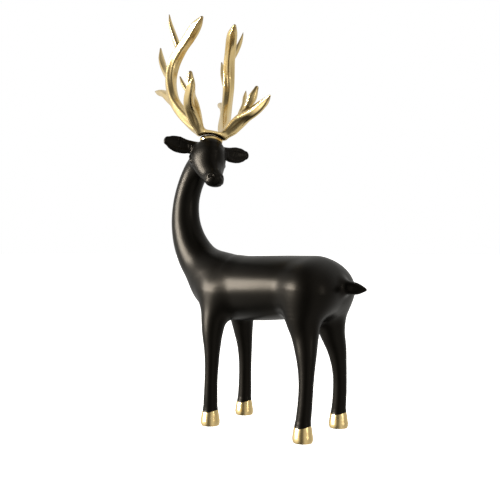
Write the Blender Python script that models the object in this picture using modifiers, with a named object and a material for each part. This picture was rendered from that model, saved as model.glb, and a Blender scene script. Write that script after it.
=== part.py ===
"""A standing stag that looks back over its shoulder, cast with separate antlers.

The stag faces -X, its back runs towards +X and +Z is up. The tables count in UNIT.
"""
import math

import bmesh
import bpy
import numpy as np

# Metres in one step of the tables
UNIT = 0.00985

# Sampling of the limbs
SPAN_STEPS = 10
LOFT_SIDES = 20
CAP_RINGS = 5
CAP_TIP = 0.4
CHUNK = 8000
REACH = 1.3
FAR = 9.0

# Joining and fairing
STAG_VOXEL = 0.11
ANTLER_VOXEL = 0.07
SETTLE_STEPS = 5
RELAX_ROUNDS = 4
PROBE = 0.004
LONGEST_STEP = 0.12
FLATTEST = 0.05
TINY = 1e-9
STAG_TRIANGLES = 6300
ANTLER_TRIANGLES = 3300

# Where the model sits
BOX_MIDDLE_X = -3.12
BOX_MIDDLE_Y = 1.71
FLOOR_SIDE = 60.0

# The head's frame: seat of the antlers, way it looks, tilt of the crown
SEAT = np.array((-4.74, -0.60, 20.28))
LOOK = math.radians(-35.3)
TILT = math.radians(7.7)
GAP = 0.03

# Fillets: how wide the blend is where a limb joins the others
NECK_FILLET = 1.3
TAIL_FILLET = 0.5
FRONT_LEG_FILLET = 0.8
HIND_LEG_FILLET = 0.9
HOOF_FILLET = 0.06
SKULL_FILLET = 0.45
JAW_FILLET = 0.3
EAR_FILLET = 0.2
EAR_CUP_FILLET = 0.06
PAD_FILLET = 0.08

# How far the rounded ends reach, as shares of the smaller half width: first end, last end
ROUND_CAPS = (1.0, 1.0)
TRUNK_CAPS = (1.02, 1.19)
SKULL_CAPS = (0.74, 0.90)
EAR_CAPS = (1.0, 1.6)

# How much narrower the face is in front than behind
SKULL_WEDGE = 0.3

# Finishes: colour, metallic, roughness
SATIN_BLACK = ((0.012, 0.011, 0.010), 0.0, 0.34)
PALE_GOLD = ((0.79, 0.60, 0.30), 1.0, 0.28)

# Directions across a limb, from which its half width is measured
LEVEL = np.eye(3)
ACROSS_BODY = (0.0, 1.0, 0.0)
ACROSS_SKULL = (1.0, 0.0, 0.0)
ACROSS_EAR = (0.0, 1.0, 0.0)
ACROSS_ANTLER = (1.0, 0.2, 0.0)


def head_axes():
    """Rows: towards the stag's left, forward, up, as the head holds them."""
    forward = np.array((math.cos(LOOK), math.sin(LOOK), 0.0))
    left = np.array((-math.sin(LOOK), math.cos(LOOK), 0.0))
    up = np.array((0.0, 0.0, 1.0))
    return np.array((
        math.cos(TILT) * left - math.sin(TILT) * up,
        forward,
        math.sin(TILT) * left + math.cos(TILT) * up,
    ))


HEAD = head_axes()

# Stations: x, y, z, half width across, half depth
TRUNK = (
    (3.35, 0, 9.55, 2.60, 2.16),
    (2.50, 0, 9.54, 2.61, 2.17),
    (1.20, 0, 9.55, 2.56, 2.16),
    (-0.60, 0, 9.46, 2.46, 2.23),
    (-2.70, 0, 9.41, 2.27, 2.25),
    (-3.60, 0, 9.48, 2.15, 2.15),
)
NECK = (
    (-3.60, 0, 9.60, 1.60, 1.55),
    (-5.05, 0, 10.22, 1.62, 1.66),
    (-6.32, 0, 11.28, 1.42, 1.48),
    (-7.18, 0, 12.55, 1.22, 1.27),
    (-7.62, 0, 13.95, 1.06, 1.10),
    (-7.64, 0, 15.35, 0.97, 0.97),
    (-7.33, 0, 16.60, 0.92, 0.92),
    (-6.70, -0.05, 17.75, 0.92, 0.92),
    (-5.75, -0.30, 18.55, 0.95, 0.95),
)
FRONT_LEG = (
    (-3.55, 1.30, 9.00, 1.05, 1.42),
    (-3.72, 1.62, 7.60, 0.86, 1.00),
    (-3.74, 1.83, 6.40, 0.72, 0.75),
    (-3.68, 1.95, 5.20, 0.56, 0.57),
    (-3.67, 2.01, 4.10, 0.48, 0.485),
    (-3.70, 2.05, 3.00, 0.455, 0.465),
    (-3.73, 2.06, 1.90, 0.48, 0.49),
    (-3.78, 2.04, 0.90, 0.49, 0.51),
)
HIND_LEG = (
    (3.70, 1.48, 9.35, 1.55, 1.60),
    (3.50, 1.70, 7.90, 1.18, 1.28),
    (3.66, 1.80, 6.60, 0.88, 0.90),
    (3.88, 2.04, 5.40, 0.66, 0.68),
    (3.98, 2.19, 4.30, 0.52, 0.53),
    (4.00, 2.28, 3.30, 0.47, 0.475),
    (3.95, 2.34, 2.20, 0.47, 0.48),
    (3.83, 2.39, 1.00, 0.49, 0.50),
)
HOOF = (
    (0.02, 0, 1.08, 0.50, 0.53),
    (0.01, 0, 0.85, 0.57, 0.59),
    (0, 0, 0.50, 0.63, 0.64),
    (0, 0, 0.22, 0.66, 0.67),
    (0, 0, 0.00, 0.60, 0.61),
    (0, 0, -0.22, 0.48, 0.50),
)
TAIL = (
    (4.70, 0, 9.80, 0.62, 0.50),
    (5.50, 0, 9.72, 0.46, 0.45),
    (6.42, 0, 9.61, 0.34, 0.38),
    (7.11, 0, 9.57, 0.08, 0.08),
)

# Stations in the head's frame: left, forward, up, half width across, half depth
SKULL = (
    (0, -0.02, -1.22, 1.20, 1.20),
    (0, 0.14, -1.55, 1.22, 1.22),
    (0.02, 0.38, -1.97, 1.15, 1.10),
    (0.05, 0.75, -2.45, 0.94, 0.82),
    (0.10, 1.22, -2.90, 0.70, 0.64),
    (0.14, 1.48, -3.13, 0.68, 0.61),
    (0.16, 1.66, -3.32, 0.64, 0.56),
)
JAW = (
    (0, -0.60, -1.50, 0.95, 0.60),
    (0, -0.30, -2.05, 1.03, 0.62),
    (0.04, 0.25, -2.65, 0.86, 0.55),
    (0.10, 0.85, -3.15, 0.62, 0.45),
    (0.14, 1.25, -3.38, 0.48, 0.36),
)
EAR = (
    (0.90, -0.45, -1.00, 0.30, 0.42),
    (1.60, -0.60, -1.04, 0.24, 0.52),
    (2.20, -0.71, -0.97, 0.22, 0.59),
    (2.68, -0.78, -0.88, 0.20, 0.50),
    (2.98, -0.82, -0.82, 0.16, 0.33),
)
CUP = (
    (1.45, -0.33, -1.06, 0.13, 0.18),
    (2.08, -0.42, -0.98, 0.19, 0.40),
    (2.62, -0.52, -0.89, 0.16, 0.33),
    (2.98, -0.60, -0.83, 0.09, 0.15),
)
PAD = (
    (-0.55, 0, -0.38, 0.48, 0.26),
    (0, 0, -0.28, 0.56, 0.28),
    (0.55, 0, -0.38, 0.48, 0.26),
)
BAND = (
    (-0.90, 0, 0.10, 0.42, 0.22),
    (0, 0, 0.16, 0.46, 0.17),
    (0.90, 0, 0.10, 0.42, 0.22),
)

# Antler of the left side in the head's frame: left, back, up, half width across, half depth
BEAM = (
    (0.88, 0.15, 0.15, 0.34, 0.34),
    (1.30, 1.70, 1.00, 0.40, 0.42),
    (1.80, 3.35, 2.10, 0.42, 0.44),
    (2.16, 4.50, 3.20, 0.44, 0.44),
    (2.36, 5.32, 4.70, 0.44, 0.44),
    (2.26, 5.40, 6.00, 0.44, 0.44),
    (1.98, 4.75, 7.05, 0.45, 0.45),
    (1.68, 3.85, 7.85, 0.44, 0.44),
    (1.43, 3.00, 8.55, 0.37, 0.37),
    (1.30, 2.30, 9.02, 0.13, 0.13),
)
CREST = (
    (2.08, 4.90, 7.00, 0.26, 0.26),
    (2.56, 5.20, 8.10, 0.22, 0.22),
    (2.91, 5.50, 9.08, 0.15, 0.15),
    (3.09, 5.70, 9.88, 0.05, 0.05),
)
BACK_HIGH = (
    (2.34, 5.25, 4.70, 0.24, 0.24),
    (2.52, 6.80, 5.60, 0.23, 0.23),
    (2.66, 8.30, 6.90, 0.27, 0.27),
    (2.68, 9.45, 8.22, 0.08, 0.08),
)
BACK_LOW = (
    (1.80, 3.50, 2.20, 0.28, 0.28),
    (2.20, 5.10, 3.20, 0.36, 0.36),
    (2.44, 6.60, 3.85, 0.31, 0.31),
    (2.60, 7.95, 4.20, 0.23, 0.23),
    (2.72, 9.05, 4.50, 0.06, 0.06),
)
BROW = (
    (0.92, -0.05, 0.16, 0.37, 0.37),
    (1.34, -0.25, 0.70, 0.48, 0.48),
    (1.92, -0.80, 1.48, 0.48, 0.48),
    (2.38, -1.70, 1.96, 0.41, 0.41),
    (2.64, -2.70, 2.38, 0.29, 0.29),
    (2.76, -3.45, 2.78, 0.07, 0.07),
)
CLUB = (
    (1.70, -0.55, 1.45, 0.30, 0.30),
    (2.05, -0.85, 2.20, 0.25, 0.25),
    (2.30, -1.10, 3.00, 0.31, 0.31),
    (2.46, -1.28, 3.72, 0.16, 0.16),
)
SPUR = (
    (1.80, -0.30, 1.90, 0.18, 0.18),
    (2.12, 0.25, 2.75, 0.12, 0.12),
    (2.38, 0.90, 3.45, 0.15, 0.15),
    (2.56, 1.40, 4.05, 0.06, 0.06),
)

# Each run of the antler with its fillet
ANTLER_PARTS = (
    (BEAM, 0.25),
    (BROW, 0.25),
    (CREST, 0.18),
    (BACK_HIGH, 0.18),
    (BACK_LOW, 0.2),
    (CLUB, 0.2),
    (SPUR, 0.15),
)


def spline(rows):
    """A smooth curve through the rows, SPAN_STEPS samples to a span."""
    rows = np.array(rows, float)
    padded = np.vstack((2 * rows[0] - rows[1], rows, 2 * rows[-1] - rows[-2]))
    share = (np.arange(SPAN_STEPS) / SPAN_STEPS)[:, None]
    spans = []
    for before, start, end, after in zip(padded, padded[1:], padded[2:], padded[3:]):
        bend = 2 * before - 5 * start + 4 * end - after
        twist = 3 * start - before - 3 * end + after
        spans.append(start + 0.5 * ((end - before) * share + bend * share ** 2 + twist * share ** 3))
    return np.vstack((*spans, rows[-1:]))


def unit(vectors):
    return vectors / np.linalg.norm(vectors, axis=-1, keepdims=True)


class Limb:
    """A tapering limb with oval sections along a smooth curve."""

    def __init__(self, stations, across=ACROSS_BODY, axes=LEVEL, origin=(0, 0, 0), blend=0.3,
                 caps=ROUND_CAPS, wedge=0.0):
        samples = spline(stations)
        self.centre = samples[:, :3] @ axes + origin
        self.half = samples[:, 3:5]
        self.cap = np.linspace(*caps, len(samples)) * self.half.min(axis=1)
        self.blend = blend
        self.wedge = wedge
        along = unit(np.gradient(self.centre, axis=0))
        reference = np.array(across, float) @ axes
        side = reference - (along @ reference)[:, None] * along
        self.along = along
        self.side = unit(side)
        self.deep = np.cross(self.along, self.side)

    def loft(self):
        """Points and faces of the limb as a closed tube with rounded ends."""
        turn = np.arange(LOFT_SIDES) * math.tau / LOFT_SIDES
        circle = np.stack((np.cos(turn), np.sin(turn)), axis=1)
        rings = []
        lean = np.arange(CAP_RINGS, 0, -1) * math.pi / 2 / (CAP_RINGS + CAP_TIP)
        for angle in lean:
            rings.append((0, -math.sin(angle), math.cos(angle)))
        for index in range(len(self.centre)):
            rings.append((index, 0.0, 1.0))
        for angle in lean[::-1]:
            rings.append((-1, math.sin(angle), math.cos(angle)))
        points = []
        for index, shift, shrink in rings:
            wide, deep = self.half[index]
            middle = self.centre[index] + shift * self.cap[index] * self.along[index]
            across = circle[:, :1] * wide * self.side[index]
            through = circle[:, 1:] * deep * self.deep[index]
            points.append(middle + shrink * (across + through))
        faces = []
        for ring in range(len(rings) - 1):
            for corner in range(LOFT_SIDES):
                near = ring * LOFT_SIDES + corner
                beside = ring * LOFT_SIDES + (corner + 1) % LOFT_SIDES
                faces.append((near, beside, beside + LOFT_SIDES, near + LOFT_SIDES))
        faces.append(tuple(range(LOFT_SIDES))[::-1])
        last = (len(rings) - 1) * LOFT_SIDES
        faces.append(tuple(range(last, last + LOFT_SIDES)))
        return np.vstack(points), faces

    def distance(self, points):
        """How far each point lies outside the limb, below nothing inside it."""
        out = np.full(len(points), FAR)
        margin = self.half.max() + REACH
        low = self.centre.min(axis=0) - margin
        high = self.centre.max(axis=0) + margin
        close = np.flatnonzero(((points > low) & (points < high)).all(axis=1))
        for first in range(0, len(close), CHUNK):
            chosen = close[first:first + CHUNK]
            out[chosen] = self.near_distance(points[chosen])
        return out

    def near_distance(self, points):
        start = self.centre[:-1]
        step = np.diff(self.centre, axis=0)
        length = (step ** 2).sum(axis=1)
        reached = points @ step.T - (start * step).sum(axis=1)
        share = np.clip(reached / length, 0, 1)
        square = (points ** 2).sum(axis=1)[:, None] - 2 * points @ start.T + (start ** 2).sum(axis=1)
        nearest = (square - 2 * share * reached + share ** 2 * length).argmin(axis=1)
        part = share[np.arange(len(points)), nearest][:, None]

        def between(values):
            return values[nearest] * (1 - part) + values[nearest + 1] * part

        away = points - between(self.centre)
        half = between(self.half)
        reach = np.column_stack((half, between(self.cap[:, None])))
        local = np.column_stack((
            (away * between(self.side)).sum(axis=1),
            (away * between(self.deep)).sum(axis=1),
            (away * between(self.along)).sum(axis=1),
        ))
        local[:, 0] *= 1 + self.wedge * np.clip(local[:, 1] / reach[:, 1], -1, 1)
        scaled = np.linalg.norm(local / reach, axis=1)
        slope = np.linalg.norm(local / reach ** 2, axis=1) + TINY
        return scaled * (scaled - 1) / slope


def blended(first, second, width):
    """The smaller of two distances, with a fillet about this wide where they meet."""
    mix = np.clip(0.5 + 0.5 * (second - first) / width, 0, 1)
    return second * (1 - mix) + first * mix - width * mix * (1 - mix)


class Casting:
    """Limbs run together into one surface, with hollows pressed into it."""

    def __init__(self, limbs, hollows=()):
        self.limbs = limbs
        self.hollows = hollows

    def distance(self, points):
        total = self.limbs[0].distance(points)
        for limb in self.limbs[1:]:
            total = blended(total, limb.distance(points), limb.blend)
        for hollow in self.hollows:
            total = -blended(-total, hollow.distance(points), hollow.blend)
        return total

    def slope(self, points):
        shifts = PROBE * np.array(((1, -1, -1), (-1, -1, 1), (-1, 1, -1), (1, 1, 1)))
        return sum(shift * self.distance(points + shift)[:, None] for shift in shifts) / (4 * PROBE ** 2)

    def settle(self, points, steps):
        for _ in range(steps):
            slope = self.slope(points)
            size = np.maximum((slope ** 2).sum(axis=1), FLATTEST)
            move = -(self.distance(points) / size)[:, None] * slope
            length = np.linalg.norm(move, axis=1, keepdims=True) + TINY
            points = points + move * np.minimum(1, LONGEST_STEP / length)
        return points


def new_object(name, points, faces, collection):
    mesh = bpy.data.meshes.new(name)
    mesh.from_pydata((np.asarray(points) * UNIT).tolist(), [], faces)
    mesh.validate()
    made = bpy.data.objects.new(name, mesh)
    collection.objects.link(made)
    return made


def rough_union(name, limbs, voxel, collection):
    """The limbs' tubes joined through a Remesh modifier, as one mesh."""
    points = []
    faces = []
    count = 0
    for limb in limbs:
        tube_points, tube_faces = limb.loft()
        points.append(tube_points)
        faces.extend(tuple(corner + count for corner in face) for face in tube_faces)
        count += len(tube_points)
    made = new_object(name, np.vstack(points), faces, collection)
    remesh = made.modifiers.new("Join", "REMESH")
    remesh.mode = "VOXEL"
    remesh.voxel_size = voxel * UNIT
    graph = bpy.context.evaluated_depsgraph_get()
    joined = bpy.data.meshes.new_from_object(made.evaluated_get(graph))
    made.modifiers.clear()
    made.data = joined
    return made


def fair(made, casting):
    """Moves the mesh onto the casting's blended surface and evens its faces out."""
    mesh = made.data
    points = np.empty(len(mesh.vertices) * 3)
    mesh.vertices.foreach_get("co", points)
    points = points.reshape(-1, 3) / UNIT
    edges = np.empty(len(mesh.edges) * 2, int)
    mesh.edges.foreach_get("vertices", edges)
    edges = edges.reshape(-1, 2)
    ends = np.concatenate((edges[:, 0], edges[:, 1]))
    others = np.concatenate((edges[:, 1], edges[:, 0]))
    degree = np.bincount(ends, minlength=len(points))[:, None]
    points = casting.settle(points, SETTLE_STEPS)
    for _ in range(RELAX_ROUNDS):
        mean = np.column_stack([
            np.bincount(ends, weights=points[others, axis], minlength=len(points)) for axis in range(3)
        ]) / degree
        points = casting.settle(0.5 * (points + mean), 2)
    mesh.vertices.foreach_set("co", (points * UNIT).reshape(-1))
    mesh.shade_smooth()
    mesh.update()


def thin_out(made, triangles):
    """A Decimate modifier that leaves about this many triangles."""
    made.data.calc_loop_triangles()
    decimate = made.modifiers.new("Facets", "DECIMATE")
    decimate.decimate_type = "COLLAPSE"
    decimate.ratio = triangles / len(made.data.loop_triangles)


def cut(made, cutter, name):
    boolean = made.modifiers.new(name, "BOOLEAN")
    boolean.operation = "DIFFERENCE"
    boolean.solver = "EXACT"
    boolean.object = cutter
    cutter.hide_render = True
    cutter.display_type = "WIRE"


def painted(made, name, colour, metallic, roughness):
    material = bpy.data.materials.new(name)
    material.use_nodes = True
    shader = material.node_tree.nodes["Principled BSDF"]
    shader.inputs["Base Color"].default_value = (*colour, 1.0)
    shader.inputs["Metallic"].default_value = metallic
    shader.inputs["Roughness"].default_value = roughness
    material.diffuse_color = (*colour, 1.0)
    made.data.materials.clear()
    made.data.materials.append(material)


def shifted(stations, x, y):
    return tuple((row[0] + x, row[1] + y, *row[2:]) for row in stations)


def turned(stations, column):
    """The same limb with one coordinate turned round, as on the other side."""
    return tuple(tuple(-v if at == column else v for at, v in enumerate(row)) for row in stations)


def on_head(stations, across, blend, caps=ROUND_CAPS, wedge=0.0):
    return Limb(stations, across, HEAD, SEAT, blend, caps, wedge)


def stag_limbs():
    limbs = [
        Limb(TRUNK, blend=0, caps=TRUNK_CAPS),
        Limb(NECK, blend=NECK_FILLET),
        Limb(TAIL, blend=TAIL_FILLET),
    ]
    for table, fillet in ((FRONT_LEG, FRONT_LEG_FILLET), (HIND_LEG, HIND_LEG_FILLET)):
        for leg in (table, turned(table, 1)):
            foot_x, foot_y = leg[-1][:2]
            limbs.append(Limb(leg, blend=fillet))
            limbs.append(Limb(shifted(HOOF, foot_x, foot_y), blend=HOOF_FILLET))
    limbs.append(on_head(SKULL, ACROSS_SKULL, SKULL_FILLET, SKULL_CAPS, SKULL_WEDGE))
    limbs.append(on_head(JAW, ACROSS_SKULL, JAW_FILLET))
    for ear in (EAR, turned(EAR, 0)):
        limbs.append(on_head(ear, ACROSS_EAR, EAR_FILLET, EAR_CAPS))
    limbs.append(on_head(PAD, ACROSS_EAR, PAD_FILLET))
    return limbs


def ear_hollows():
    return [on_head(cup, ACROSS_EAR, EAR_CUP_FILLET) for cup in (CUP, turned(CUP, 0))]


def antler_limbs():
    limbs = [on_head(BAND, ACROSS_EAR, 0)]
    for table, fillet in ANTLER_PARTS:
        tine = turned(table, 1)
        for stations in (tine, turned(tine, 0)):
            limbs.append(on_head(stations, ACROSS_ANTLER, fillet))
    return limbs


def grown(stations, more):
    return tuple((*row[:3], row[3] + more, row[4] + more) for row in stations)


def ground(collection):
    """A cube whose top face is the ground under the model."""
    shape = bmesh.new()
    bmesh.ops.create_cube(shape, size=FLOOR_SIDE * UNIT)
    bmesh.ops.translate(shape, verts=shape.verts, vec=(0, 0, -FLOOR_SIDE * UNIT / 2))
    mesh = bpy.data.meshes.new("floor_cutter")
    shape.to_mesh(mesh)
    shape.free()
    made = bpy.data.objects.new("floor_cutter", mesh)
    collection.objects.link(made)
    return made


def build():
    for leftover in list(bpy.data.objects):
        bpy.data.objects.remove(leftover, do_unlink=True)
    figurine = bpy.data.collections.new("reindeer_figurine")
    cutters = bpy.data.collections.new("reindeer_cutters")
    for collection in (figurine, cutters):
        bpy.context.scene.collection.children.link(collection)

    limbs = stag_limbs()
    stag = rough_union("stag", limbs, STAG_VOXEL, figurine)
    fair(stag, Casting(limbs, ear_hollows()))
    thin_out(stag, STAG_TRIANGLES)
    painted(stag, "satin_black", *SATIN_BLACK)

    limbs = antler_limbs()
    antlers = rough_union("antlers", limbs, ANTLER_VOXEL, figurine)
    fair(antlers, Casting(limbs))
    thin_out(antlers, ANTLER_TRIANGLES)
    painted(antlers, "pale_gold", *PALE_GOLD)

    # The ground, which makes the soles flat
    floor = ground(cutters)
    cut(stag, floor, "Soles")

    # The antlers' underside fits the pad on the head with a hairline gap
    points, faces = on_head(grown(PAD, GAP), ACROSS_EAR, 0).loft()
    seat = new_object("seat_cutter", points, faces, cutters)
    cut(antlers, seat, "Seat")

    for made in (stag, antlers, floor, seat):
        made.location = (-BOX_MIDDLE_X * UNIT, -BOX_MIDDLE_Y * UNIT, 0)


build()
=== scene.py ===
"""Looks of the reindeer figurine: a satin black casting with gold hooves and gold antlers.

The stag faces -X and looks back over its left shoulder. The tables count in UNIT.
"""
import math

import bmesh
import bpy
import numpy as np
from mathutils import Matrix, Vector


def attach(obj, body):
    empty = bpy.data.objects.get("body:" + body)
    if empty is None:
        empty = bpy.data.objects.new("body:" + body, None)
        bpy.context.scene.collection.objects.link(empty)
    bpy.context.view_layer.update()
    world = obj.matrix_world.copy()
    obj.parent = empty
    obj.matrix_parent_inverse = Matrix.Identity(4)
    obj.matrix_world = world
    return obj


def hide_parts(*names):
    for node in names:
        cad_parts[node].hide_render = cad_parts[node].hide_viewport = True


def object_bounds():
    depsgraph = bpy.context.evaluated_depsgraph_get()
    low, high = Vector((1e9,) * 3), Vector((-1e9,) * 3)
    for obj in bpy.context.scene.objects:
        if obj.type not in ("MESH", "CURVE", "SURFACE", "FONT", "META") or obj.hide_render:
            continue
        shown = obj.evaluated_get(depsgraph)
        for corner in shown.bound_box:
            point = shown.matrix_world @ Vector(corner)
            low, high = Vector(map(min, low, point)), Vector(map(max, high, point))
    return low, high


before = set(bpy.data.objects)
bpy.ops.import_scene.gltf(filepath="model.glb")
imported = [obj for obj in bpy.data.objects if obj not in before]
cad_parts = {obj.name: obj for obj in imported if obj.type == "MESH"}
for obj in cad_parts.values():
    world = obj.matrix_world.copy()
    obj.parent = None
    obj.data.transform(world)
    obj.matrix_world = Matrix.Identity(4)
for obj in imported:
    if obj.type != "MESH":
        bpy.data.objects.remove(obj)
cad_box = [[float(v) for v in corner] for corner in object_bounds()]

# Metres in one step of the tables, and the middle of the overall box in them
UNIT = 0.00985
MIDDLE = np.array((-3.12, 1.71, 0.0))

# Tubes: samples to a span, sides, rings of a rounded end, share of a ring left out at its tip
SPAN_STEPS = 6
LOFT_SIDES = 20
CAP_RINGS = 5
CAP_TIP = 0.4

# Broad lumps of the antlers, as a share of the flutes' depth, and how they twist
LUMPS = 1.0
LUMP_TWIST = 1.9

# Measuring: points taken at once, distance given to far points, how far out each kind of limb
# is measured, and a guard against division by zero
CHUNK = 12000
FAR = 9.0
STAG_REACH = 1.3
ANTLER_REACH = 0.45
FEATURE_REACH = 0.4
CLEFT_REACH = 0.3
TINY = 1e-9

# Cell size of each joined mesh
STAG_VOXEL = 0.098
ANTLER_VOXEL = 0.055

# Settling on a surface: longest step, and the least squared slope that it divides by
LONGEST_STEP = 0.12
FLATTEST = 0.1

# Fairing: steps onto the surface, rounds that even the faces out, rounds that soften
STAG_FAIRING = (3, 2, 0)
DETAIL_FAIRING = (2, 2, 1)
ANTLER_FAIRING = (4, 2, 4)

# Steps that lay a feature on the head, and rounds of averaging that show the hollows
LAID_STEPS = 6
RECESS_ROUNDS = 10

# The stag's mesh is finer at the head, within these bounds in its frame, and at the hooves
HEAD_SIDE = 3.6
HEAD_BACK = -1.9
HEAD_BOTTOM = -4.4
HOOF_TOP = 1.7

# The head's frame: seat of the antlers, way it looks, tilt of the crown
SEAT = np.array((-4.74, -0.60, 20.28))
LOOK = math.radians(-35.3)
TILT = math.radians(7.7)

# Gap between the antlers and the pad under them
GAP = 0.03

# Fillets: how wide the blend is where a limb joins the others
NECK_FILLET = 1.3
TAIL_FILLET = 0.5
FRONT_LEG_FILLET = 0.8
HIND_LEG_FILLET = 0.9
HOOF_FILLET = 0.06
SKULL_FILLET = 0.45
JAW_FILLET = 0.3
EAR_FILLET = 0.2
EAR_CUP_FILLET = 0.06
PAD_FILLET = 0.08
ANTLER_SEAT_FILLET = 0.02
HOOF_CLEFT_FILLET = 0.1
LIP_CLEFT_FILLET = 0.04

# How far the rounded ends reach, as shares of the smaller half width: first end, last end
ROUND_CAPS = (1.0, 1.0)
TRUNK_CAPS = (1.02, 1.19)
SKULL_CAPS = (0.74, 0.90)
EAR_CAPS = (1.0, 1.6)

# How much narrower the face is in front than behind
SKULL_WEDGE = 0.3

# Directions across a limb, from which its half width is measured
LEVEL = np.eye(3)
ACROSS_BODY = (0.0, 1.0, 0.0)
ACROSS_SKULL = (1.0, 0.0, 0.0)
ACROSS_EAR = (0.0, 1.0, 0.0)
ACROSS_ANTLER = (1.0, 0.2, 0.0)


def head_axes():
    """Rows: towards the stag's left, forward, up, as the head holds them."""
    forward = np.array((math.cos(LOOK), math.sin(LOOK), 0.0))
    left = np.array((-math.sin(LOOK), math.cos(LOOK), 0.0))
    up = np.array((0.0, 0.0, 1.0))
    return np.array((
        math.cos(TILT) * left - math.sin(TILT) * up,
        forward,
        math.sin(TILT) * left + math.cos(TILT) * up,
    ))


HEAD = head_axes()

# Stations: x, y, z, half width across, half depth
TRUNK = (
    (3.35, 0, 9.55, 2.60, 2.16),
    (2.50, 0, 9.54, 2.61, 2.17),
    (1.20, 0, 9.55, 2.56, 2.16),
    (-0.60, 0, 9.46, 2.46, 2.23),
    (-2.70, 0, 9.41, 2.27, 2.25),
    (-3.60, 0, 9.48, 2.15, 2.15),
)
NECK = (
    (-3.60, 0, 9.60, 1.60, 1.55),
    (-5.05, 0, 10.22, 1.62, 1.66),
    (-6.32, 0, 11.28, 1.42, 1.48),
    (-7.18, 0, 12.55, 1.22, 1.27),
    (-7.62, 0, 13.95, 1.06, 1.10),
    (-7.64, 0, 15.35, 0.97, 0.97),
    (-7.33, 0, 16.60, 0.92, 0.92),
    (-6.70, -0.05, 17.75, 0.92, 0.92),
    (-5.75, -0.30, 18.55, 0.95, 0.95),
)
FRONT_LEG = (
    (-3.55, 1.30, 9.00, 1.05, 1.42),
    (-3.72, 1.62, 7.60, 0.86, 1.00),
    (-3.74, 1.83, 6.40, 0.72, 0.75),
    (-3.68, 1.95, 5.20, 0.56, 0.57),
    (-3.67, 2.01, 4.10, 0.48, 0.485),
    (-3.70, 2.05, 3.00, 0.455, 0.465),
    (-3.73, 2.06, 1.90, 0.48, 0.49),
    (-3.78, 2.04, 0.90, 0.49, 0.51),
)
HIND_LEG = (
    (3.70, 1.48, 9.35, 1.55, 1.60),
    (3.50, 1.70, 7.90, 1.18, 1.28),
    (3.66, 1.80, 6.60, 0.88, 0.90),
    (3.88, 2.04, 5.40, 0.66, 0.68),
    (3.98, 2.19, 4.30, 0.52, 0.53),
    (4.00, 2.28, 3.30, 0.47, 0.475),
    (3.95, 2.34, 2.20, 0.47, 0.48),
    (3.83, 2.39, 1.00, 0.49, 0.50),
)
HOOF = (
    (0.02, 0, 1.08, 0.50, 0.53),
    (0.01, 0, 0.85, 0.57, 0.59),
    (0, 0, 0.50, 0.63, 0.64),
    (0, 0, 0.22, 0.66, 0.67),
    (0, 0, 0.00, 0.60, 0.61),
    (0, 0, -0.22, 0.48, 0.50),
)
TAIL = (
    (4.70, 0, 9.80, 0.62, 0.50),
    (5.50, 0, 9.72, 0.46, 0.45),
    (6.42, 0, 9.61, 0.34, 0.38),
    (7.11, 0, 9.57, 0.08, 0.08),
)

# Stations in the head's frame: left, forward, up, half width across, half depth
SKULL = (
    (0, -0.02, -1.22, 1.20, 1.20),
    (0, 0.14, -1.55, 1.22, 1.22),
    (0.02, 0.38, -1.97, 1.15, 1.10),
    (0.05, 0.75, -2.45, 0.94, 0.82),
    (0.10, 1.22, -2.90, 0.70, 0.64),
    (0.14, 1.48, -3.13, 0.68, 0.61),
    (0.16, 1.66, -3.32, 0.64, 0.56),
)
JAW = (
    (0, -0.60, -1.50, 0.95, 0.60),
    (0, -0.30, -2.05, 1.03, 0.62),
    (0.04, 0.25, -2.65, 0.86, 0.55),
    (0.10, 0.85, -3.15, 0.62, 0.45),
    (0.14, 1.25, -3.38, 0.48, 0.36),
)
EAR = (
    (0.90, -0.45, -1.00, 0.30, 0.42),
    (1.60, -0.60, -1.04, 0.24, 0.52),
    (2.20, -0.71, -0.97, 0.22, 0.59),
    (2.68, -0.78, -0.88, 0.20, 0.50),
    (2.98, -0.82, -0.82, 0.16, 0.33),
)
CUP = (
    (1.45, -0.33, -1.06, 0.13, 0.18),
    (2.08, -0.42, -0.98, 0.19, 0.40),
    (2.62, -0.52, -0.89, 0.16, 0.33),
    (2.98, -0.60, -0.83, 0.09, 0.15),
)
PAD = (
    (-0.55, 0, -0.38, 0.48, 0.26),
    (0, 0, -0.28, 0.56, 0.28),
    (0.55, 0, -0.38, 0.48, 0.26),
)
BAND = (
    (-0.90, 0, 0.10, 0.42, 0.22),
    (0, 0, 0.16, 0.46, 0.17),
    (0.90, 0, 0.10, 0.42, 0.22),
)

# Antler of the left side in the head's frame: left, back, up, half width across, half depth
BEAM = (
    (0.88, 0.15, 0.15, 0.34, 0.34),
    (1.30, 1.70, 1.00, 0.40, 0.42),
    (1.80, 3.35, 2.10, 0.42, 0.44),
    (2.16, 4.50, 3.20, 0.44, 0.44),
    (2.36, 5.32, 4.70, 0.44, 0.44),
    (2.26, 5.40, 6.00, 0.44, 0.44),
    (1.98, 4.75, 7.05, 0.45, 0.45),
    (1.68, 3.85, 7.85, 0.44, 0.44),
    (1.43, 3.00, 8.55, 0.37, 0.37),
    (1.30, 2.30, 9.02, 0.13, 0.13),
)
CREST = (
    (2.08, 4.90, 7.00, 0.26, 0.26),
    (2.56, 5.20, 8.10, 0.22, 0.22),
    (2.91, 5.50, 9.08, 0.15, 0.15),
    (3.09, 5.70, 9.88, 0.05, 0.05),
)
BACK_HIGH = (
    (2.34, 5.25, 4.70, 0.24, 0.24),
    (2.52, 6.80, 5.60, 0.23, 0.23),
    (2.66, 8.30, 6.90, 0.27, 0.27),
    (2.68, 9.45, 8.22, 0.08, 0.08),
)
BACK_LOW = (
    (1.80, 3.50, 2.20, 0.28, 0.28),
    (2.20, 5.10, 3.20, 0.36, 0.36),
    (2.44, 6.60, 3.85, 0.31, 0.31),
    (2.60, 7.95, 4.20, 0.23, 0.23),
    (2.72, 9.05, 4.50, 0.06, 0.06),
)
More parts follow.
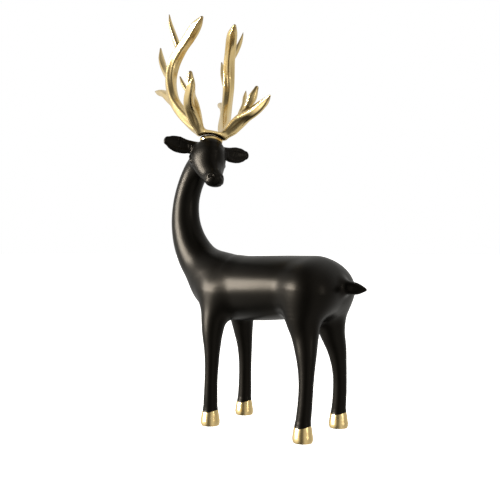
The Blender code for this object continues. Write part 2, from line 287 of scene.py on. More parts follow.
BROW = (
    (0.92, -0.05, 0.16, 0.37, 0.37),
    (1.34, -0.25, 0.70, 0.48, 0.48),
    (1.92, -0.80, 1.48, 0.48, 0.48),
    (2.38, -1.70, 1.96, 0.41, 0.41),
    (2.64, -2.70, 2.38, 0.29, 0.29),
    (2.76, -3.45, 2.78, 0.07, 0.07),
)
CLUB = (
    (1.70, -0.55, 1.45, 0.30, 0.30),
    (2.05, -0.85, 2.20, 0.25, 0.25),
    (2.30, -1.10, 3.00, 0.31, 0.31),
    (2.46, -1.28, 3.72, 0.16, 0.16),
)
SPUR = (
    (1.80, -0.30, 1.90, 0.18, 0.18),
    (2.12, 0.25, 2.75, 0.12, 0.12),
    (2.38, 0.90, 3.45, 0.15, 0.15),
    (2.56, 1.40, 4.05, 0.06, 0.06),
)

# Each run of the antler: fillet, depth of its flutes, their number, their twist
ANTLER_PARTS = (
    (BEAM, 0.20, 0.030, 5, 0.9),
    (BROW, 0.14, 0.045, 4, 0.7),
    (CREST, 0.15, 0.018, 4, 0.5),
    (BACK_HIGH, 0.15, 0.020, 4, 0.5),
    (BACK_LOW, 0.18, 0.022, 4, 0.5),
    (CLUB, 0.16, 0.022, 4, 0.5),
    (SPUR, 0.13, 0.012, 3, 0.5),
)

# Flutes of a plain limb: depth, number, twist
NO_FLUTES = (0.0, 1, 0.0)

# Features of the head, as points that are laid on it: left, forward, up. Their sizes are the
# half widths across and through.
EYEBALL = ((1.12, -0.40, -1.70), (1.10, -0.14, -2.04))
EYEBALL_SIZE = (0.24, 0.20)
SOCKET_SIZE = (0.31, 0.27)
LOWER_LID = (
    (1.20, -0.66, -1.66),
    (1.20, -0.60, -1.92),
    (1.14, -0.40, -2.20),
    (1.06, -0.10, -2.36),
    (1.00, 0.14, -2.36),
)
LID_SIZE = (0.085, 0.085)
NOSTRIL = ((0.20, 2.05, -3.22), (0.32, 2.00, -3.16), (0.44, 1.86, -3.22))
NOSTRIL_SIZE = (0.08, 0.08)
NOSTRIL_RIM = ((0.12, 2.05, -3.08), (0.30, 1.95, -2.98), (0.48, 1.78, -3.04), (0.54, 1.70, -3.26))
NOSTRIL_RIM_SIZE = (0.09, 0.09)
MOUTH = ((0.66, 1.20, -3.42), (0.56, 1.60, -3.62), (0.34, 1.90, -3.74), (0.0, 2.02, -3.78))
MOUTH_SIZE = (0.04, 0.04)
EAR_RIBS = (
    ((1.45, -0.20, -1.28), (2.10, -0.26, -1.22), (2.70, -0.42, -1.06)),
    ((1.45, -0.18, -1.02), (2.10, -0.22, -0.96), (2.74, -0.40, -0.88)),
    ((1.50, -0.22, -0.80), (2.05, -0.26, -0.74), (2.60, -0.42, -0.74)),
)
EAR_RIB_SIZE = (0.075, 0.075)

# How far the muzzle leans to the left, and the cleft in the middle of its lip
MUZZLE_LEAN = 0.15
LIP_CLEFT = ((MUZZLE_LEAN, 2.15, -3.42), (MUZZLE_LEAN, 2.10, -3.72))
LIP_CLEFT_SIZE = (0.035, 0.035)

# Features of each side: points, size, lift over the head, fillet, pressed in or not, lean
SIDE_FEATURES = (
    (EYEBALL, SOCKET_SIZE, 0.15, 0.10, True, 0.0),
    (EYEBALL, EYEBALL_SIZE, -0.13, 0.03, False, 0.0),
    (LOWER_LID, LID_SIZE, 0.0, 0.07, False, 0.0),
    (NOSTRIL_RIM, NOSTRIL_RIM_SIZE, -0.03, 0.08, False, MUZZLE_LEAN),
    (NOSTRIL, NOSTRIL_SIZE, 0.0, 0.05, True, MUZZLE_LEAN),
    (MOUTH, MOUTH_SIZE, 0.0, 0.04, True, MUZZLE_LEAN),
    *((rib, EAR_RIB_SIZE, 0.02, 0.05, False, 0.0) for rib in EAR_RIBS),
)

# Cleft in the front of each hoof, and the share of a feature's thickness left at its ends
HOOF_CLEFT = ((-0.70, 0, -0.05), (-0.66, 0, 0.45), (-0.60, 0, 0.86))
HOOF_CLEFT_SIZE = (0.06, 0.06)
THIN_END = 0.55

# Upper edge of a hoof's gold: height over the ground, depth and number of its waves
CORONET = 1.00
CORONET_DIP = 0.07
CORONET_WAVES = 2

# Height below which the gold is a hoof's, and above which it is the pad's
PAINT_LIMIT = 3.0

# Gold ring on the pad: how far it reaches past the pad, its lower and upper edge, its arch
PAD_EDGE = 0.05
PAD_RING = (-0.30, -0.15)
PAD_ARCH = 0.32

# How far from its end the gold of a tine is worn dark
TIP_WEAR = 0.55

# Noise of each coat: scale, detail, roughness
BLACK_CLOUD = (55.0, 4.0, 0.5)
BLACK_GRAIN = (1400.0, 3.0, 0.6)
GOLD_CLOUD = (120.0, 5.0, 0.5)
GOLD_GRAIN = (900.0, 4.0, 0.6)
FLOOR_CLOUD = (8.0, 2.0, 0.5)

# Lowest and highest value of the cloud noise that the roughness follows
CLOUD_SPAN = (0.3, 0.7)

# Satin black: two tones, roughness, gloss and its tint, strength and height of the grain
BLACK_TONES = ((0.0009, 0.0008, 0.0006, 1), (0.0015, 0.0013, 0.0010, 1))
BLACK_ROUGHNESS = (0.29, 0.37)
BLACK_GLOSS = 0.13
BLACK_TINT = (1.0, 0.90, 0.77, 1)
BLACK_BUMP = (0.10, 0.00012)

# Pale gold: two tones, the painted shade laid into hollows, the tone of worn ends, roughness,
# strength and height of the grain, and how much higher than the grain the clouds rise
GOLD_TONES = ((0.80, 0.60, 0.27, 1), (0.90, 0.71, 0.36, 1))
GOLD_PAINTED_SHADE = (0.36, 0.21, 0.05, 1)
GOLD_WORN = (0.20, 0.13, 0.05, 1)
GOLD_ROUGHNESS = (0.22, 0.29)
GOLD_BUMP = (0.2, 0.000006)
CLOUD_HEIGHT = 8.0

# Depth of the hollows and the share of their painted shade, cloud value and share of the worn tone
HOLLOW_SHADE_SPAN = (0.0, 0.010)
HOLLOW_SHADE_SHARE = (0.0, 0.8)
WORN_SPAN = (0.35, 0.65)
WORN_SHARE = (0.45, 0.9)

# Floor: two tones, roughness, glow and its colour, side in metres
FLOOR_TONES = ((0.93, 0.93, 0.93, 1), (0.96, 0.96, 0.96, 1))
FLOOR_ROUGHNESS = 0.9
FLOOR_GLOW = 0.95
FLOOR_SIZE = 30.0
WHITE = (1, 1, 1, 1)

# Sockets of a Mix node that mixes colours
MIX_FIRST = 6
MIX_SECOND = 7
MIX_RESULT = 2

# Camera: place in the tables' steps, lens and sensor in millimetres, turn, nearest view in metres
CAMERA_PLACE = (27.215, -41.97, 12.08)
CAMERA_LENS = 52.56
CAMERA_SENSOR = 36.0
CAMERA_TURN = math.radians(34.7)
CAMERA_NEAR = 0.01

# Softboxes, which look at AIM from LIGHT_DISTANCE metres: name, direction that they stand in,
# width and height in metres, radiance, colour
AIM = (0.0, 0.0, 0.13)
LIGHT_DISTANCE = 1.1
SOFTBOXES = (
    ("key", (-0.69, -0.72, 0.17), (0.52, 0.54), 41.0, (1.0, 0.95, 0.87)),
    ("right", (1.0, -0.12, 0.10), (0.12, 0.50), 6.0, (1.0, 0.96, 0.90)),
)

# Room: the directions of its depth and width
ROOM_BACK = (-0.5693, 0.8221, 0.10)
ROOM_RIGHT = (0.8221, 0.5693, 0.0)

# Places from 0 to 1: share of the back wall along the depth, light of the walls along the width
BACK_STEPS = ((0.0, 0.0), (0.54, 0.0), (0.70, 0.35), (0.88, 1.0))
WALL_STEPS = (
    (0.0, 1.00),
    (0.10, 0.90),
    (0.22, 0.12),
    (0.44, 0.09),
    (0.57, 0.50),
    (0.72, 0.75),
    (0.92, 0.55),
    (1.0, 0.50),
)

# Share of green and blue in the walls' light, and the back wall's colour
WALL_WARMTH = (0.97, 0.91)
BACK_WALL = (0.72, 0.71, 0.68, 1)


def spline(rows):
    """A smooth curve through the rows, SPAN_STEPS samples to a span."""
    rows = np.array(rows, float)
    padded = np.vstack((2 * rows[0] - rows[1], rows, 2 * rows[-1] - rows[-2]))
    share = (np.arange(SPAN_STEPS) / SPAN_STEPS)[:, None]
    spans = []
    for before, start, end, after in zip(padded, padded[1:], padded[2:], padded[3:]):
        bend = 2 * before - 5 * start + 4 * end - after
        twist = 3 * start - before - 3 * end + after
        spans.append(start + 0.5 * ((end - before) * share + bend * share ** 2 + twist * share ** 3))
    return np.vstack((*spans, rows[-1:]))


def unit(vectors):
    """The vectors, each brought to length one."""
    return vectors / np.linalg.norm(vectors, axis=-1, keepdims=True)


class Limb:
    """A tapering limb with oval sections along a smooth curve, plain or fluted."""

    def __init__(self, stations, blend, across=ACROSS_BODY, axes=LEVEL, origin=(0, 0, 0),
                 caps=ROUND_CAPS, wedge=0.0, flutes=NO_FLUTES, press=False, reach=STAG_REACH):
        samples = spline(stations)
        self.centre = samples[:, :3] @ axes + origin
        self.half = samples[:, 3:5]
        self.cap = np.linspace(*caps, len(samples)) * self.half.min(axis=1)
        self.blend = blend
        self.wedge = wedge
        self.flutes = flutes
        self.press = press
        self.reach = reach
        self.along = unit(np.gradient(self.centre, axis=0))
        reference = np.array(across, float) @ axes
        self.side = unit(reference - (self.along @ reference)[:, None] * self.along)
        self.deep = np.cross(self.along, self.side)

    def loft(self):
        """Points and faces of the limb as a closed tube with rounded ends."""
        turn = np.arange(LOFT_SIDES) * math.tau / LOFT_SIDES
        circle = np.stack((np.cos(turn), np.sin(turn)), axis=1)
        rings = []
        lean = np.arange(CAP_RINGS, 0, -1) * math.pi / 2 / (CAP_RINGS + CAP_TIP)
        for angle in lean:
            rings.append((0, -math.sin(angle), math.cos(angle)))
        for index in range(len(self.centre)):
            rings.append((index, 0.0, 1.0))
        for angle in lean[::-1]:
            rings.append((-1, math.sin(angle), math.cos(angle)))
        points = []
        for index, shift, shrink in rings:
            wide, deep = self.half[index]
            middle = self.centre[index] + shift * self.cap[index] * self.along[index]
            across = circle[:, :1] * wide * self.side[index]
            through = circle[:, 1:] * deep * self.deep[index]
            points.append(middle + shrink * (across + through))
        faces = []
        for ring in range(len(rings) - 1):
            for corner in range(LOFT_SIDES):
                near = ring * LOFT_SIDES + corner
                beside = ring * LOFT_SIDES + (corner + 1) % LOFT_SIDES
                faces.append((near, beside, beside + LOFT_SIDES, near + LOFT_SIDES))
        faces.append(tuple(range(LOFT_SIDES))[::-1])
        last = (len(rings) - 1) * LOFT_SIDES
        faces.append(tuple(range(last, last + LOFT_SIDES)))
        return np.vstack(points), faces

    def measure(self, points):
        """Distance outside the limb and the way it grows, for each point."""
        away = np.full(len(points), FAR)
        slope = np.zeros((len(points), 3))
        margin = self.half.max() + self.reach
        low = self.centre.min(axis=0) - margin
        high = self.centre.max(axis=0) + margin
        close = np.flatnonzero(((points > low) & (points < high)).all(axis=1))
        for first in range(0, len(close), CHUNK):
            chosen = close[first:first + CHUNK]
            away[chosen], slope[chosen] = self.near(points[chosen])
        return away, slope

    def near(self, points):
        """What measure gives, for points that are close enough to the limb."""
        start = self.centre[:-1]
        step = np.diff(self.centre, axis=0)
        length = (step ** 2).sum(axis=1)
        reached = points @ step.T - (start * step).sum(axis=1)
        share = np.clip(reached / length, 0, 1)
        square = (start ** 2).sum(axis=1) - 2 * points @ start.T
        nearest = (square - 2 * share * reached + share ** 2 * length).argmin(axis=1)
        part = share[np.arange(len(points)), nearest][:, None]

        def between(values):
            return values[nearest] * (1 - part) + values[nearest + 1] * part

        offset = points - between(self.centre)
        size = np.column_stack((between(self.half), between(self.cap[:, None])))
        axes = np.stack((between(self.side), between(self.deep), between(self.along)), axis=1)
        local = np.einsum("nij,nj->ni", axes, offset)
        local[:, 0] *= 1 + self.wedge * np.clip(local[:, 1] / size[:, 1], -1, 1)
        scaled = np.linalg.norm(local / size, axis=1)
        pull = local / size ** 2
        steep = np.linalg.norm(pull, axis=1) + TINY
        slope = np.einsum("ni,nij->nj", pull / steep[:, None], axes)
        distance = scaled * (scaled - 1) / steep
        depth, count, twist = self.flutes
        if depth:
            angle = np.arctan2(local[:, 1] / size[:, 1], local[:, 0] / size[:, 0])
            place = (nearest + part[:, 0]) / SPAN_STEPS
            fade = np.clip(size[:, 0] / self.half.max(), 0, 1)
            lumps = LUMPS * np.cos(2 * angle - LUMP_TWIST * place)
            ripple = np.cos(count * angle + twist * place) + lumps
            distance = distance + depth * fade * ripple
        return distance, slope


class Casting:
    """Limbs run together into one surface, in order, each added to it or pressed into it."""

    def __init__(self, limbs):
        self.limbs = limbs

    def measure(self, points):
        """Distance outside the casting and the way it grows, for each point."""
        total, slope = self.limbs[0].measure(points)
        for limb in self.limbs[1:]:
            away, lean = limb.measure(points)
            sign = -1.0 if limb.press else 1.0
            mix = np.clip(0.5 + 0.5 * (away - sign * total) / limb.blend, 0, 1)
            fillet = limb.blend * mix * (1 - mix)
            total = total * mix + sign * (away * (1 - mix) - fillet)
            slope = slope * mix[:, None] + sign * lean * (1 - mix[:, None])
        return total, slope

    def settle(self, points, steps):
        """The points, moved towards the casting's surface in a number of steps."""
        for _ in range(steps):
            away, slope = self.measure(points)
            size = np.maximum((slope ** 2).sum(axis=1), FLATTEST)
            move = -(away / size)[:, None] * slope
            length = np.linalg.norm(move, axis=1, keepdims=True) + TINY
            points = points + move * np.minimum(1, LONGEST_STEP / length)
        return points


def turned(stations, column):
    """The same limb with one coordinate turned round, as on the other side."""
    return tuple(tuple(-v if at == column else v for at, v in enumerate(row)) for row in stations)


def shifted(stations, x, y):
    """The same limb, moved level by x and y."""
    return tuple((row[0] + x, row[1] + y, *row[2:]) for row in stations)


def thick(points, size):
    """Stations of even thickness; with three or more, the two ends are thinner."""
    wide, deep = size
    last = len(points) - 1
    rows = []
    for index, point in enumerate(points):
        share = THIN_END if index in (0, last) and last > 1 else 1.0
        rows.append((*point, wide * share, deep * share))
    return tuple(rows)


def on_head(stations, across, blend, **more):
    """A limb whose stations are in the head's frame."""
    return Limb(stations, blend, across, HEAD, SEAT, **more)


def laid(points, casting, lift):
    """Points given in the head's frame, moved onto the casting and then out by lift."""
    world = casting.settle(np.array(points, float) @ HEAD + SEAT, LAID_STEPS)
    _, slope = casting.measure(world)
    return (world + lift * unit(slope + TINY) - SEAT) @ HEAD.T


def body_limbs():
    """The stag without its face: trunk, neck, tail, legs and hooves, head and ears."""
    limbs = [
        Limb(TRUNK, blend=0, caps=TRUNK_CAPS),
        Limb(NECK, blend=NECK_FILLET),
        Limb(TAIL, blend=TAIL_FILLET),
    ]
    for table, fillet in ((FRONT_LEG, FRONT_LEG_FILLET), (HIND_LEG, HIND_LEG_FILLET)):
        for leg in (table, turned(table, 1)):
            foot_x, foot_y = leg[-1][:2]
            limbs.append(Limb(leg, blend=fillet))
            limbs.append(Limb(shifted(HOOF, foot_x, foot_y), blend=HOOF_FILLET))
            cleft = shifted(thick(HOOF_CLEFT, HOOF_CLEFT_SIZE), foot_x, foot_y)
            limbs.append(Limb(cleft, blend=HOOF_CLEFT_FILLET, press=True, reach=CLEFT_REACH))
    limbs.append(on_head(SKULL, ACROSS_SKULL, SKULL_FILLET, caps=SKULL_CAPS, wedge=SKULL_WEDGE))
    limbs.append(on_head(JAW, ACROSS_SKULL, JAW_FILLET))
    for ear in (EAR, turned(EAR, 0)):
        limbs.append(on_head(ear, ACROSS_EAR, EAR_FILLET, caps=EAR_CAPS))
    limbs.append(on_head(PAD, ACROSS_EAR, PAD_FILLET))
    for cup in (CUP, turned(CUP, 0)):
        limbs.append(on_head(cup, ACROSS_EAR, EAR_CUP_FILLET, press=True))
    return limbs


def face_limbs(casting):
    """The casting's limbs with eyes, lids, nostrils, mouth and ear ribs laid on them."""
    limbs = list(casting.limbs)

    def feature(points, size, lift, blend, press):
        stations = thick(laid(points, casting, lift), size)
        limbs.append(on_head(stations, ACROSS_SKULL, blend, press=press, reach=FEATURE_REACH))

    for side in (1, -1):
        mirror = np.array((side, 1, 1))
        for points, size, lift, blend, press, lean in SIDE_FEATURES:
            feature(np.array(points) * mirror + (lean, 0, 0), size, lift, blend, press)
    feature(LIP_CLEFT, LIP_CLEFT_SIZE, 0.0, LIP_CLEFT_FILLET, True)
    return limbs


def antler_limbs():
    """The band, both antlers on it, and the hollow under it that the pad fits into."""
    limbs = [on_head(BAND, ACROSS_EAR, 0, reach=ANTLER_REACH)]
    for table, fillet, *flutes in ANTLER_PARTS:
        tine = turned(table, 1)
        for stations in (tine, turned(tine, 0)):
            limbs.append(on_head(stations, ACROSS_ANTLER, fillet, flutes=flutes, reach=ANTLER_REACH))
    seat = [(*row[:3], row[3] + GAP, row[4] + GAP) for row in PAD]
    limbs.append(on_head(seat, ACROSS_EAR, ANTLER_SEAT_FILLET, press=True, reach=ANTLER_REACH))
    return limbs


def rough_union(name, limbs, voxel):
    """The limbs' tubes joined through a Remesh modifier, as one object."""
    points = []
    faces = []
    count = 0
    for limb in limbs:
        if limb.press:
            continue
        tube_points, tube_faces = limb.loft()
        points.append(tube_points)
        faces.extend(tuple(corner + count for corner in face) for face in tube_faces)
        count += len(tube_points)
    mesh = bpy.data.meshes.new(name)
    mesh.from_pydata(((np.vstack(points) - MIDDLE) * UNIT).tolist(), [], faces)
    made = bpy.data.objects.new(name, mesh)
    bpy.context.scene.collection.objects.link(made)
    remesh = made.modifiers.new("Join", "REMESH")
    remesh.mode = "VOXEL"
    remesh.voxel_size = voxel * UNIT
    graph = bpy.context.evaluated_depsgraph_get()
    joined = bpy.data.meshes.new_from_object(made.evaluated_get(graph))
    made.modifiers.clear()
    made.data = joined
    return made


def points_of(mesh):
    """The mesh's points, counted in the tables' steps."""
    points = np.empty(len(mesh.vertices) * 3)
    mesh.vertices.foreach_get("co", points)
    return points.reshape(-1, 3) / UNIT + MIDDLE


def move_points(mesh, points):
    """Gives the mesh new places for its points, counted in the tables' steps."""
    mesh.vertices.foreach_set("co", ((points - MIDDLE) * UNIT).reshape(-1))
    mesh.update()


def keep_inside(mesh, box):
    """Moves the points that lie outside the box onto its sides."""
    low, high = (np.array(corner) / UNIT + MIDDLE for corner in box)
    move_points(mesh, np.clip(points_of(mesh), low, high))


def neighbour_mean(mesh):
    """A function that gives the mean of each point's neighbours."""
    edges = np.empty(len(mesh.edges) * 2, int)
    mesh.edges.foreach_get("vertices", edges)
    edges = edges.reshape(-1, 2)
    ends = np.concatenate((edges[:, 0], edges[:, 1]))
    others = np.concatenate((edges[:, 1], edges[:, 0]))
    degree = np.bincount(ends, minlength=len(mesh.vertices))[:, None]

    def mean(points):
        columns = []
        for values in points[others].T:
            columns.append(np.bincount(ends, weights=values, minlength=len(degree)))
        return np.column_stack(columns) / degree

    return mean


def fair(mesh, casting, steps, rounds, soften):
    """Moves the mesh onto the casting's surface, evens its faces out and softens it."""
    mean = neighbour_mean(mesh)
    points = casting.settle(points_of(mesh), steps)
    for _ in range(rounds):
        points = casting.settle(0.5 * (points + mean(points)), 1)
    points = casting.settle(points, 1)
    for _ in range(soften):
        points = 0.5 * (points + mean(points))
    move_points(mesh, points)


def refine(mesh, wanted):
    """Splits each quad whose middle is wanted into four."""
    shape = bmesh.new()
    shape.from_mesh(mesh)
    centres = np.array([face.calc_center_median() for face in shape.faces]) / UNIT + MIDDLE
    shape.faces.ensure_lookup_table()
    edges = {edge for index in np.flatnonzero(wanted(centres)) for edge in shape.faces[index].edges}
    bmesh.ops.subdivide_edges(shape, edges=list(edges), cuts=1, use_grid_fill=True)
    bmesh.ops.triangulate(shape, faces=[face for face in shape.faces if len(face.verts) > 4])
    shape.to_mesh(mesh)
    shape.free()


def head_or_hoof(points):
    """Whether each point is at the head or at a hoof."""
    side, forward, up = ((points - SEAT) @ HEAD.T).T
    head = (np.abs(side) < HEAD_SIDE) & (forward > HEAD_BACK) & (up > HEAD_BOTTOM)
    return head | (points[:, 2] < HOOF_TOP)


def paint_edge(points, pad):
    """Below nothing where the casting is painted gold."""
    legs = (FRONT_LEG, turned(FRONT_LEG, 1), HIND_LEG, turned(HIND_LEG, 1))
    feet = np.array([leg[-1][:2] for leg in legs])
    spot = points[:, None, :2] - feet
    nearest = (spot ** 2).sum(axis=2).argmin(axis=1)
    offset = spot[np.arange(len(points)), nearest]
    angle = np.arctan2(offset[:, 1], offset[:, 0])
    hoof = points[:, 2] - CORONET - CORONET_DIP * np.cos(CORONET_WAVES * angle)
    local = (points - SEAT) @ HEAD.T
    level = local[:, 2] + PAD_ARCH * local[:, 0] ** 2
    ring = np.maximum(PAD_RING[0] - level, level - PAD_RING[1])
    crown = np.maximum(pad.measure(points)[0] - PAD_EDGE, ring)
    return np.where(points[:, 2] < PAINT_LIMIT, hoof, crown)


def split_paint(mesh, edge_of):
    """Cuts the mesh along the paint's edge and gives the painted faces the second slot."""
    shape = bmesh.new()
    shape.from_mesh(mesh)
    shape.verts.ensure_lookup_table()
    values = edge_of(points_of(mesh))
    cuts = []
    for edge in shape.edges:
        first, second = (values[vert.index] for vert in edge.verts)
        if (first < 0) != (second < 0):
            cuts.append((edge, edge.verts[0], abs(first) / (abs(first) + abs(second))))
    fresh = [bmesh.utils.edge_split(edge, vert, share)[1] for edge, vert, share in cuts]
    bmesh.ops.connect_verts(shape, verts=fresh)
    middles = np.array([face.calc_center_median() for face in shape.faces]) / UNIT + MIDDLE
    painted = edge_of(middles) < 0
    for face, gold in zip(shape.faces, painted):
        face.material_index = int(gold)
        face.smooth = True
    shape.to_mesh(mesh)
    shape.free()


def store_recess(mesh, rounds):
    """How far each point lies below its surroundings, as an attribute of the mesh, which the gold's
    painted shade follows.
    """
    mean = neighbour_mean(mesh)
    points = points_of(mesh)
    smooth = points
    for _ in range(rounds):
        smooth = mean(smooth)
    normals = np.empty(len(mesh.vertices) * 3)
    mesh.vertices.foreach_get("normal", normals)
    depth = ((smooth - points) * normals.reshape(-1, 3)).sum(axis=1)
    layer = mesh.attributes.new("recess", "FLOAT", "POINT")
    layer.data.foreach_set("value", depth.astype(np.float32))


def store_tips(mesh, limbs):
    """How near each point is to the end of a tine, as an attribute of the mesh."""
    points = points_of(mesh)
    ends = np.array([limb.centre[-1] for limb in limbs if not limb.press])
    away = np.linalg.norm(points[:, None] - ends, axis=2).min(axis=1)
    layer = mesh.attributes.new("tip", "FLOAT", "POINT")
    layer.data.foreach_set("value", np.clip(1 - away / TIP_WEAR, 0, 1).astype(np.float32))


class Nodes:
    """Short ways to add and link shader nodes."""

    def __init__(self, name):
        self.material = bpy.data.materials.new(name)
        self.material.use_nodes = True
        self.tree = self.material.node_tree
        self.shader = self.tree.nodes["Principled BSDF"]
        self.place = self.tree.nodes.new("ShaderNodeTexCoord").outputs["Object"]

    def add(self, kind, **inputs):
        node = self.tree.nodes.new(kind)
        for name, value in inputs.items():
            self.join(value, node.inputs[name.replace("_", " ")])
        return node

    def join(self, value, socket):
        if isinstance(value, bpy.types.NodeSocket):
            self.tree.links.new(value, socket)
        else:
            socket.default_value = value

    def noise(self, scale, detail, rough):
        node = self.add("ShaderNodeTexNoise", Vector=self.place, Scale=scale, Detail=detail,
                        Roughness=rough)
        return node.outputs["Fac"]

    def attribute(self, name):
        """A value that each point of the mesh carries under the name."""
        node = self.add("ShaderNodeAttribute")
        node.attribute_name = name
        return node.outputs["Fac"]

    def ranged(self, value, span, result):
        """The value, with its span stretched onto the result's."""
        node = self.add("ShaderNodeMapRange", Value=value)
        for name, number in zip(("From Min", "From Max", "To Min", "To Max"), (*span, *result)):
            node.inputs[name].default_value = number
        return node.outputs["Result"]

    def mixed(self, share, first, second):
        node = self.tree.nodes.new("ShaderNodeMix")
        node.data_type = "RGBA"
        self.join(share, node.inputs["Factor"])
        self.join(first, node.inputs[MIX_FIRST])
        self.join(second, node.inputs[MIX_SECOND])
        return node.outputs[MIX_RESULT]

    def math(self, kind, first, second):
        node = self.tree.nodes.new("ShaderNodeMath")
        node.operation = kind
        self.join(first, node.inputs[0])
        self.join(second, node.inputs[1])
        return node.outputs[0]

    def bump(self, height, strength, distance):
        node = self.add("ShaderNodeBump", Height=height, Strength=strength, Distance=distance)
        self.join(node.outputs["Normal"], self.shader.inputs["Normal"])

    def set(self, name, value):
        self.join(value, self.shader.inputs[name])


def satin_black():
    """A black coat with faint clouds and a fine grain."""
    coat = Nodes("satin_black")
    cloud = coat.noise(*BLACK_CLOUD)
    grain = coat.noise(*BLACK_GRAIN)
    coat.set("Base Color", coat.mixed(cloud, *BLACK_TONES))
    coat.set("Roughness", coat.ranged(cloud, CLOUD_SPAN, BLACK_ROUGHNESS))
    coat.set("Metallic", 0.0)
    coat.set("Specular IOR Level", BLACK_GLOSS)
    coat.set("Specular Tint", BLACK_TINT)
    coat.bump(grain, *BLACK_BUMP)
    return coat.material


def pale_gold():
    """A metallic coat, darkened by painted shade in the hollows, and browner on the worn ends."""
    coat = Nodes("pale_gold")
    cloud = coat.noise(*GOLD_CLOUD)
    grain = coat.noise(*GOLD_GRAIN)
    # Painted shade: the gold darkens towards its shade tone where the surface lies below its
    # surroundings
    hollow = coat.ranged(coat.attribute("recess"), HOLLOW_SHADE_SPAN, HOLLOW_SHADE_SHARE)
    worn = coat.math("MULTIPLY", coat.attribute("tip"), coat.ranged(cloud, WORN_SPAN, WORN_SHARE))
    shaded = coat.mixed(hollow, coat.mixed(cloud, *GOLD_TONES), GOLD_PAINTED_SHADE)
    coat.set("Base Color", coat.mixed(worn, shaded, GOLD_WORN))
    coat.set("Roughness", coat.ranged(cloud, CLOUD_SPAN, GOLD_ROUGHNESS))
    coat.set("Metallic", 1.0)
    relief = coat.math("ADD", coat.math("MULTIPLY", cloud, CLOUD_HEIGHT), grain)
    coat.bump(relief, *GOLD_BUMP)
    return coat.material


def pale_floor():
    """A floor close to white, with a glow of its own."""
    coat = Nodes("pale_floor")
    cloud = coat.noise(*FLOOR_CLOUD)
    coat.set("Base Color", coat.mixed(cloud, *FLOOR_TONES))
    coat.set("Roughness", FLOOR_ROUGHNESS)
    coat.set("Emission Color", WHITE)
    coat.set("Emission Strength", FLOOR_GLOW)
    return coat.material


def softbox(name, towards, size, radiance, colour):
    """An area light that looks at AIM from the given direction."""
    wide, tall = size
    light = bpy.data.lights.new(name, "AREA")
    light.shape = "RECTANGLE"
    light.size = wide
    light.size_y = tall
    light.energy = radiance * math.pi * wide * tall
    light.color = colour
    light.cycles.max_bounces = 0
    light.cycles.use_multiple_importance_sampling = False
    made = bpy.data.objects.new(name, light)
    bpy.context.scene.collection.objects.link(made)
    back = unit(np.array(towards, float))
    made.location = np.array(AIM) + LIGHT_DISTANCE * back
    right = unit(np.cross((0, 0, 1), back))
    up = np.cross(back, right)
    turn = np.column_stack((right, up, back))
    made.rotation_mode = "QUATERNION"
    made.rotation_quaternion = Matrix(turn.tolist()).to_quaternion()


def look_from_photo():
    """A level camera, placed and turned as the photograph's."""
    camera = bpy.data.cameras.new("camera")
    camera.sensor_width = CAMERA_SENSOR
    camera.lens = CAMERA_LENS
    camera.clip_start = CAMERA_NEAR
    made = bpy.data.objects.new("camera", camera)
    bpy.context.scene.collection.objects.link(made)
    made.location = (np.array(CAMERA_PLACE) - MIDDLE) * UNIT
    made.rotation_euler = (math.pi / 2, 0, CAMERA_TURN)
    bpy.context.scene.camera = made


def grey(level):
    """The walls' colour where they are as light as level."""
    return (level, level * WALL_WARMTH[0], level * WALL_WARMTH[1], 1)


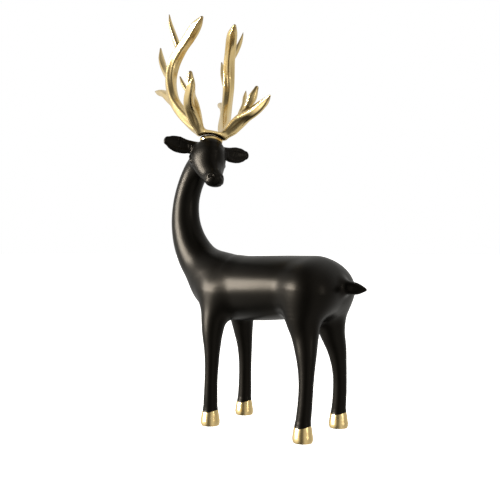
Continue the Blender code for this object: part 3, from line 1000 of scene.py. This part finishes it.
def sky():
    """A pale room behind the figurine and dim walls in front of it, all white to the camera."""
    world = bpy.data.worlds.new("studio")
    world.use_nodes = True
    bpy.context.scene.world = world
    nodes = world.node_tree.nodes
    links = world.node_tree.links
    room = nodes["Background"]
    place = nodes.new("ShaderNodeTexCoord")

    def along(direction, steps):
        """Colours that change with how far a ray points along the direction."""
        dot = nodes.new("ShaderNodeVectorMath")
        dot.operation = "DOT_PRODUCT"
        dot.inputs[1].default_value = direction
        share = nodes.new("ShaderNodeMapRange")
        share.inputs["From Min"].default_value = -1.0
        ramp = nodes.new("ShaderNodeValToRGB")
        links.new(place.outputs["Generated"], dot.inputs[0])
        links.new(dot.outputs["Value"], share.inputs["Value"])
        links.new(share.outputs["Result"], ramp.inputs["Fac"])
        first, last = ramp.color_ramp.elements
        first.position, last.position = steps[0][0], steps[-1][0]
        first.color = grey(steps[0][1])
        last.color = grey(steps[-1][1])
        for position, level in steps[1:-1]:
            ramp.color_ramp.elements.new(position).color = grey(level)
        return ramp.outputs["Color"]

    walls = nodes.new("ShaderNodeMix")
    walls.data_type = "RGBA"
    links.new(along(ROOM_BACK, BACK_STEPS), walls.inputs["Factor"])
    links.new(along(ROOM_RIGHT, WALL_STEPS), walls.inputs[MIX_FIRST])
    walls.inputs[MIX_SECOND].default_value = BACK_WALL
    links.new(walls.outputs[MIX_RESULT], room.inputs["Color"])
    backdrop = nodes.new("ShaderNodeBackground")
    backdrop.inputs["Color"].default_value = WHITE
    ray = nodes.new("ShaderNodeLightPath")
    mix = nodes.new("ShaderNodeMixShader")
    links.new(ray.outputs["Is Camera Ray"], mix.inputs["Fac"])
    links.new(room.outputs["Background"], mix.inputs[1])
    links.new(backdrop.outputs["Background"], mix.inputs[2])
    links.new(mix.outputs["Shader"], nodes["World Output"].inputs["Surface"])


gold = pale_gold()

limbs = body_limbs()
stag = rough_union("stag_casting", limbs, STAG_VOXEL)
plain = Casting(limbs)
fair(stag.data, plain, *STAG_FAIRING)
refine(stag.data, head_or_hoof)
fair(stag.data, Casting(face_limbs(plain)), *DETAIL_FAIRING)
keep_inside(stag.data, cad_box)
pad = on_head(PAD, ACROSS_EAR, PAD_FILLET)
stag.data.materials.append(satin_black())
stag.data.materials.append(gold)
split_paint(stag.data, lambda points: paint_edge(points, pad))
store_recess(stag.data, RECESS_ROUNDS)
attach(stag, "root")
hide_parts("stag")

limbs = antler_limbs()
antlers = rough_union("antler_casting", limbs, ANTLER_VOXEL)
fair(antlers.data, Casting(limbs), *ANTLER_FAIRING)
keep_inside(antlers.data, cad_box)
store_recess(antlers.data, RECESS_ROUNDS)
store_tips(antlers.data, limbs[1:])
antlers.data.shade_smooth()
antlers.data.materials.append(gold)
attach(antlers, "root")
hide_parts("antlers")

bpy.ops.mesh.primitive_plane_add(size=FLOOR_SIZE, location=(0, 0, 0))
floor = bpy.context.object
floor.name = "floor"
floor.data.materials.append(pale_floor())
floor.visible_glossy = False

sky()
for row in SOFTBOXES:
    softbox(*row)
look_from_photo()
bpy.context.scene.view_settings.view_transform = "Standard"
